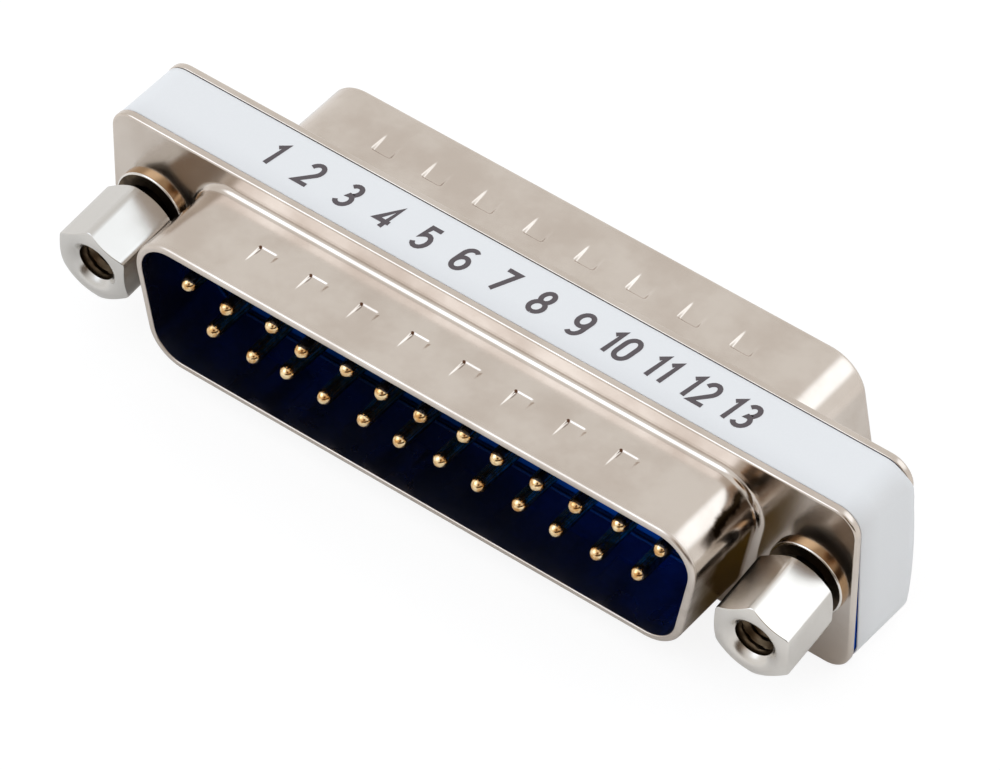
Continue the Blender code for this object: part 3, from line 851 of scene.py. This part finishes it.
def moulded_half(name, rear):
    bm = bmesh.new()
    plate = [add_ring(bm, rounded_rectangle(CORE_INSET), -y) for y in (CORE_SPLIT, CORE_FACE)]
    raised = [
        add_ring(bm, mouth_outline(-FLOOR_GAP), -CORE_FACE),
        add_ring(bm, mouth_outline(-FLOOR_GAP), -(FLOOR_FACE - FLOOR_ROUND)),
    ]
    for inset, depth in arc((FLOOR_ROUND, FLOOR_FACE - FLOOR_ROUND), FLOOR_ROUND, 150, 90, 2):
        raised.append(add_ring(bm, mouth_outline(-FLOOR_GAP - inset), -depth))
    bridge_all(bm, plate)
    bridge_all(bm, raised)
    bores = [add_ring(bm, circle(x, 0, RIVET_HOLE), -y)
             for x in RIVET_PLACES for y in (CORE_SPLIT, CORE_FACE)]
    bridge_all(bm, bores[:2])
    bridge_all(bm, bores[2:])
    fill_flat(bm, [plate[0], bores[0], bores[2]])
    fill_flat(bm, [plate[1], raised[0], bores[1], bores[3]])
    profile = (
        (SOCKET_RIM, FLOOR_FACE),
        (SOCKET_RIM - SOCKET_TAPER, FLOOR_FACE + SOCKET_RISE),
        (SOCKET_MOUTH, FLOOR_FACE + SOCKET_RISE),
        (SOCKET_BORE, FLOOR_FACE + SOCKET_RISE - SOCKET_CHAMFER),
        (SOCKET_BORE, FLOOR_FACE - SOCKET_FLOOR),
    )
    rims = []
    for x, z in contact_places():
        rings = [add_ring(bm, circle(x, z, across, SOCKET_SIDES), -y) for across, y in profile]
        bridge_all(bm, rings)
        bm.faces.new(rings[-1])
        rims.append(rings[0])
    fill_flat(bm, [raised[-1]] + rims)
    return finished_piece(name, bm, [navy_plastic], sharp=35, rear=rear)


navy_plastic, tree, shader, place = new_paint("navy_plastic")
swirl = smooth_step(tree, noise(tree, place, SWIRL_SCALE), *FLOW_SWIRL)
grain = noise(tree, place, GRAIN_SCALE, 2.0)
# Painted light: the core's face is painted a brighter blue towards both ends of the mouth,
# where light falls in; the swirl is the plastic's own uneven tone.
lit_ends = node(tree, "ShaderNodeSeparateXYZ", Vector=place).outputs["X"]
lit_ends = maths(tree, "MAXIMUM", smooth_step(tree, lit_ends, *LIT_RIGHT),
             smooth_step(tree, lit_ends, *LIT_LEFT, 1, 0))
tone_and_light = maths(tree, "MULTIPLY_ADD", swirl, SWIRL_SHARE, product(tree, lit_ends, LIT_SHARE),
             clamp=True)
add_finish(tree, shader, tone_and_light, NAVY_COLOURS, grain, NAVY_ROUGHNESS)
add_relief(tree, shader, strength=0.3, distance=0.000004, height=grain)
shader.inputs["Specular IOR Level"].default_value = NAVY_SPECULAR
for name, rear in (("front_insulator", False), ("rear_insulator", True)):
    half_core = moulded_half(name + "_moulded", rear)
    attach(half_core, "root")
    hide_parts(name)

# Contacts: twenty-five double-ended pins of gold-plated brass with round noses. Each is
# cranked across the middle, from one row at the front to the other row at the rear, and use
# has bent most of them off their line. A lean is how far a tip is out, right and up, in mm.
PIN_DIAMETER = 0.00102
CRANK_DIAMETER = 0.0007
CRANK_REACH = 0.00055
PIN_TIP = RIM_FACE - 0.0007
NOSE_LENGTH = 0.0006
NOSE_POINT = 0.000002
PIN_SIDES = 20
PIN_STATIONS = 61
LONG_ROW_LEAN = ((-0.3, -0.04), (-0.23, -0.21), (0.3, 0.34), (-0.27, -0.19), (0.2, 0.29),
                 (-0.05, 0.04), (-0.02, 0.02), (0.27, 0.34), (-0.13, 0.07), (-0.08, -0.11),
                 (-0.12, -0.13), (0.06, 0.29), (0.23, 0.22))
SHORT_ROW_LEAN = ((0.12, 0.17), (0.22, -0.26), (0.0, 0.18), (-0.14, -0.27), (0.0, -0.24),
                  (-0.2, -0.32), (0.02, 0.14), (-0.11, -0.22), (0.1, 0.24), (-0.12, -0.24),
                  (-0.01, -0.24), (0.17, 0.19))
MILLIMETRE = 0.001

gold = metal("gold_plate", bright=(0.97, 0.77, 0.46), dull=(0.60, 0.31, 0.10),
             roughness=0.14, unevenness=0.05, bump=0.00002, pits=0.0, cloud_scale=2600.0)
pins_tree = bpy.data.node_groups.new("contact_pins", "GeometryNodeTree")
pins_tree.interface.new_socket("Geometry", in_out="INPUT", socket_type="NodeSocketGeometry")
pins_tree.interface.new_socket("Geometry", in_out="OUTPUT", socket_type="NodeSocketGeometry")
pin_inputs = {}
for label, value in (("Pin Diameter", PIN_DIAMETER), ("Crank Diameter", CRANK_DIAMETER),
                     ("Crank Reach", CRANK_REACH), ("Tip", PIN_TIP),
                     ("Nose Length", NOSE_LENGTH), ("Row Height", ROW_SPACING / 2)):
    socket = pins_tree.interface.new_socket(label, in_out="INPUT",
                                            socket_type="NodeSocketFloat")
    socket.default_value = value
    pin_inputs[socket.identifier] = value
given = pins_tree.nodes.new("NodeGroupInput").outputs
line = node(pins_tree, "GeometryNodeMeshLine", {"mode": "END_POINTS"}, Count=PIN_STATIONS,
            Start_Location=(-1.0, 0.0, 0.0), Offset=(1.0, 0.0, 0.0))
station = node(pins_tree, "GeometryNodeInputPosition").outputs[0]
station = node(pins_tree, "ShaderNodeSeparateXYZ", Vector=station).outputs["X"]
along = maths(pins_tree, "MULTIPLY", given["Tip"],
              maths(pins_tree, "SINE", maths(pins_tree, "MULTIPLY", station, pi / 2)))
slope = maths(pins_tree, "DIVIDE", along, given["Crank Reach"])
slope = maths(pins_tree, "MAXIMUM", maths(pins_tree, "MINIMUM", slope, 1.0), -1.0)
rise = maths(pins_tree, "MULTIPLY", maths(pins_tree, "MULTIPLY", slope, -1.0),
             given["Row Height"])
centre_line = node(pins_tree, "ShaderNodeCombineXYZ", X=0.0, Y=along, Z=rise)
from_tip = maths(pins_tree, "SUBTRACT", given["Tip"], maths(pins_tree, "ABSOLUTE", along))
pin_radius = maths(pins_tree, "MULTIPLY", given["Pin Diameter"], 0.5)
nose = maths(pins_tree, "SUBTRACT", 1.0,
             maths(pins_tree, "DIVIDE", from_tip, given["Nose Length"], clamp=True))
nose = maths(pins_tree, "SQRT", maths(pins_tree, "SUBTRACT", 1.0,
                                      maths(pins_tree, "MULTIPLY", nose, nose), clamp=True))
thin = maths(pins_tree, "LESS_THAN", maths(pins_tree, "ABSOLUTE", along),
             maths(pins_tree, "ADD", given["Crank Reach"], given["Crank Diameter"]))
crank_radius = maths(pins_tree, "MULTIPLY", given["Crank Diameter"], 0.5)
full = maths(pins_tree, "MULTIPLY_ADD", thin,
             maths(pins_tree, "SUBTRACT", crank_radius, pin_radius), pin_radius)
radius = maths(pins_tree, "MAXIMUM", maths(pins_tree, "MULTIPLY", full, nose), NOSE_POINT)
line = node(pins_tree, "GeometryNodeStoreNamedAttribute",
            {"data_type": "FLOAT", "domain": "POINT"},
            Geometry=line.outputs[0], Name="pin_radius", Value=radius)
bent = node(pins_tree, "GeometryNodeSetPosition", Geometry=line.outputs[0],
            Position=centre_line.outputs[0])
wire = node(pins_tree, "GeometryNodeMeshToCurve", Mesh=bent.outputs[0])
stored = node(pins_tree, "GeometryNodeInputNamedAttribute", {"data_type": "FLOAT"},
              Name="pin_radius")
profile = node(pins_tree, "GeometryNodeCurvePrimitiveCircle", Resolution=PIN_SIDES, Radius=1.0)
pin = node(pins_tree, "GeometryNodeCurveToMesh", Curve=wire.outputs[0],
           Profile_Curve=profile.outputs[0], Scale=stored.outputs[0], Fill_Caps=True)
turn = node(pins_tree, "GeometryNodeInputNamedAttribute", {"data_type": "FLOAT_VECTOR"},
            Name="turn")
row = node(pins_tree, "GeometryNodeInstanceOnPoints", Points=given["Geometry"],
           Instance=pin.outputs[0], Rotation=turn.outputs[0])
row = node(pins_tree, "GeometryNodeRealizeInstances", Geometry=row.outputs[0])
row = node(pins_tree, "GeometryNodeSetShadeSmooth", Geometry=row.outputs[0])
row = node(pins_tree, "GeometryNodeSetMaterial", Geometry=row.outputs[0], Material=gold)
pins_tree.links.new(row.outputs[0], pins_tree.nodes.new("NodeGroupOutput").inputs[0])

places = bpy.data.meshes.new("contact_places")
places.from_pydata([(x, 0, 0) for x, z in contact_places()], [], [])
turns = places.attributes.new("turn", "FLOAT_VECTOR", "POINT")
for point, (across, upwards) in enumerate(LONG_ROW_LEAN + SHORT_ROW_LEAN):
    short = point >= LONG_ROW
    dip = atan2(MILLIMETRE * upwards, PIN_TIP) * (1 if short else -1)
    swing = atan2(MILLIMETRE * across, PIN_TIP)
    turns.data[point].vector = (dip, pi if short else 0, swing)
seeds = bpy.data.objects.new("contact_places", places)
scene.collection.objects.link(seeds)
modifier = seeds.modifiers.new("contacts", "NODES")
modifier.node_group = pins_tree
for identifier, value in pin_inputs.items():
    modifier[identifier] = value
bpy.context.view_layer.update()
pins_mesh = bpy.data.meshes.new_from_object(
    seeds.evaluated_get(bpy.context.evaluated_depsgraph_get()))
bpy.data.objects.remove(seeds)
for spare in ("turn", "pin_radius"):
    if layer := pins_mesh.attributes.get(spare):
        pins_mesh.attributes.remove(layer)
bm = bmesh.new()
bm.from_mesh(pins_mesh)
contacts = finished_piece("contacts_plated", bm, [gold], sharp=50)
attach(contacts, "root")
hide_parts(*[f"contact_{number:02d}" for number in range(1, 26)])

# Rivets: a threaded steel rivet through the whole stack at each end, with a thin flat head
# on each flange. Its rear end takes a screw of the mating connector.
RIVET_BARREL = 0.004
RIVET_BORE = 0.0029
RIVET_HEAD = 0.005
RIVET_FACE = FLANGE_FACE + 0.0004
RIVET_ROUND = 0.00012
RIVET_CHAMFER = 0.0002
THREAD_START = RIVET_FACE - 0.0003
HEAD_BROWN = (RIVET_FACE - 0.00011, RIVET_FACE - 0.00008)
THREAD_PITCH = 0.000635
THREAD_DEPTH = 0.00028
THREAD_STEPS = 10
THREAD_SIDES = 48


def thread_rings(bm, x, bore, start, end, sides=THREAD_SIDES):
    """Rings down a threaded hole, each point out or in by where the helix has got to."""
    rings = []
    count = round(abs(end - start) / THREAD_PITCH * THREAD_STEPS)
    for k in range(count + 1):
        y = start + (end - start) * k / count
        fade = min(k / THREAD_STEPS, (count - k) / THREAD_STEPS, 1)
        ring = []
        for i in range(sides):
            phase = (y / THREAD_PITCH + i / sides) % 1
            out = bore / 2 + THREAD_DEPTH * fade * (abs(2 * phase - 1) - 0.5)
            angle = tau * i / sides
            ring.append(bm.verts.new((x + out * cos(angle), y, out * sin(angle))))
        rings.append(ring)
    return rings


def head_side(tree, place):
    """1 round the sides of the rivets' heads, where a brown reflection is painted, and 0 on
    their faces.
    """
    return smooth_step(tree, depth_of(tree, place), *HEAD_BROWN, 1, 0)


# The rivets' head sides carry a painted brown reflection.
rivet_nickel = metal("rivet_nickel", bright=(0.72, 0.685, 0.64), dull=(0.66, 0.62, 0.575),
                     roughness=0.14, unevenness=0.05, bump=0.0000014,
                     painted_shades=(((0.46, 0.31, 0.18), head_side),))
# Painted shade: a near-black brown for the bare steel of the threads, and for the rivets' front
# faces and the standoffs' feet and back faces in the gap behind each standoff.
shaded_steel = metal("shaded_steel", bright=(0.17, 0.125, 0.08), dull=(0.06, 0.04, 0.022),
                    roughness=0.36, unevenness=0.15, bump=0.000003, cloud_scale=700.0)
for name, x in zip(("left", "right"), RIVET_PLACES):
    bm = bmesh.new()
    head = [(FLANGE_FACE, RIVET_BARREL / 2), (FLANGE_FACE, RIVET_HEAD / 2)]
    head += [(y, r) for r, y in arc((RIVET_HEAD / 2 - RIVET_ROUND, RIVET_FACE - RIVET_ROUND),
                                    RIVET_ROUND, 0, 90, EDGE_STEPS)]
    head += [(RIVET_FACE, RIVET_BORE / 2 + RIVET_CHAMFER),
             (RIVET_FACE - RIVET_CHAMFER, RIVET_BORE / 2)]
    front = [add_ring(bm, circle(x, 0, 2 * r, THREAD_SIDES), -y) for y, r in head]
    back = [add_ring(bm, circle(x, 0, 2 * r, THREAD_SIDES), y) for y, r in head]
    thread = thread_rings(bm, x, RIVET_BORE, -THREAD_START, THREAD_START)
    bridge_all(bm, front + thread + back[::-1] + front[:1])
    # The front face under the standoff, the chamfers and the thread take the painted-shade
    # steel.
    leave_bare(bm, front[-3:] + thread + back[-2:])
    rivet = finished_piece(f"threaded_rivet_{name}", bm, [rivet_nickel, shaded_steel], sharp=35)
    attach(rivet, "root")
    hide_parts(f"threaded_insert_{name}")

# Standoffs: hexagonal nickel-plated bar, turned at both ends so that its corners are
# chamfered, with a threaded and countersunk hole in the face. Neither is screwed quite
# home, and both hang a little askew on their studs.
STANDOFF_ACROSS = 0.00478
STANDOFF_SEAT = RIVET_FACE + 0.0001
STANDOFF_BACK = STANDOFF_SEAT + 0.00055
STANDOFF_FRONT = STANDOFF_BACK + 0.0048
STANDOFF_FACE = 0.0045
STANDOFF_FLAT = STANDOFF_FACE / 2 - 0.0001
STANDOFF_CHAMFER = radians(28)
STANDOFF_SIDES = 96
STANDOFF_EDGE = 0.00005
EDGE_LEAD = 0.00003
LEAD_SLOPE = 0.9
DISH = ((0.0039, 0), (0.00372, 0.000008), (0.00356, 0.00003), (0.00336, 0.000075),
        (0.00312, 0.00015), (0.00284, 0.00027), (0.0025, 0.00044))
SOCKET_DIAMETER = 0.0025
SOCKET_START = DISH[-1][1] + 0.00003
SOCKET_DEPTH = 0.0036
STUD = 0.002
STUD_LENGTH = 0.0022
STUD_TAPER = 0.0003
NECK = 0.0023
LEFT_BLEND = (-0.001, 0.001)
PIVOT = Vector((0, -0.0034, 0))
STANDOFF_SET = {"left": (Vector((-0.00004, 0.00012, -0.00022)), (4.1, -2.0, 1.0)),
                "right": (Vector((0.00009, -0.00022, 0.00018)), (2.5, -1.0, 3.6))}


def left_side(tree, place):
    """1 on the left standoff, whose colour is painted darker as shade."""
    across = node(tree, "ShaderNodeSeparateXYZ", Vector=place).outputs["X"]
    return smooth_step(tree, across, *LEFT_BLEND, 1, 0)


# The left standoff's colour is painted darker, as shade.
satin_nickel = metal("satin_nickel", bright=(0.70, 0.665, 0.62), dull=(0.64, 0.602, 0.555),
                     roughness=0.22, unevenness=0.06, bump=0.0000014,
                     painted_shades=(((0.595, 0.572, 0.54), left_side),))


def hexagon_reach(angle):
    """Radius of a hexagon with a corner up, in a direction, its corners a little rounded."""
    sharp = STANDOFF_ACROSS / 2 / cos((angle + pi / 6) % (pi / 3) - pi / 6)
    return min(sharp, STANDOFF_ACROSS / sqrt(3) - STANDOFF_EDGE)


def standoff_ring(bm, place):
    """A ring of points from a function that gives each direction's radius and depth."""
    ring = []
    for i in range(STANDOFF_SIDES):
        angle = tau * i / STANDOFF_SIDES
        radius, y = place(angle)
        ring.append(bm.verts.new((radius * cos(angle), -y, radius * sin(angle))))
    return ring


def turned_end(face, inward, lead):
    """The edge between a chamfer and the flats, or a line near it by the lead."""
    def place(angle):
        radius = hexagon_reach(angle)
        fall = max(0, radius - STANDOFF_FACE / 2) * tan(STANDOFF_CHAMFER)
        return (radius - max(0, lead) * LEAD_SLOPE, face + inward * max(0, fall - lead))
    return place


def turned(radius, y):
    return lambda angle: (radius, y)


stud_end = STANDOFF_SEAT - STUD_LENGTH
foot = [turned(STUD / 2 - STUD_TAPER, stud_end), turned(STUD / 2, stud_end + STUD_TAPER),
        turned(STUD / 2, STANDOFF_SEAT), turned(NECK / 2, STANDOFF_SEAT),
        turned(NECK / 2, STANDOFF_BACK), turned(STANDOFF_FLAT, STANDOFF_BACK)]
hexagon = [turned_end(STANDOFF_BACK, 1, lead) for lead in (EDGE_LEAD, 0, -EDGE_LEAD)]
hexagon += [turned_end(STANDOFF_FRONT, -1, lead) for lead in (-EDGE_LEAD, 0, EDGE_LEAD)]
dish = [turned(STANDOFF_FLAT, STANDOFF_FRONT)]
dish += [turned(across / 2, STANDOFF_FRONT - depth) for across, depth in DISH]
for name, x in zip(("left", "right"), RIVET_PLACES):
    bm = bmesh.new()
    rings = [standoff_ring(bm, place) for place in foot + hexagon + dish]
    socket = thread_rings(bm, 0, SOCKET_DIAMETER, SOCKET_START - STANDOFF_FRONT,
                          SOCKET_DEPTH - STANDOFF_FRONT, STANDOFF_SIDES)
    bridge_all(bm, rings + socket)
    bm.faces.new(rings[0])
    bm.faces.new(socket[-1])
    # The socket, the foot and the back face take the painted-shade steel.
    leave_bare(bm, socket)
    leave_bare(bm, rings[:len(foot)])
    shift, (droop, roll, yaw) = STANDOFF_SET[name]
    turn = (Matrix.Rotation(radians(yaw), 3, "Z") @ Matrix.Rotation(radians(droop), 3, "X")
            @ Matrix.Rotation(radians(roll), 3, "Y"))
    bmesh.ops.rotate(bm, cent=PIVOT, matrix=turn, verts=bm.verts)
    bmesh.ops.translate(bm, vec=shift + Vector((x, 0, 0)), verts=bm.verts)
    standoff = finished_piece(f"standoff_{name}_turned", bm, [satin_nickel, shaded_steel],
                              sharp=22)
    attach(standoff, "root")
    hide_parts(f"standoff_{name}")
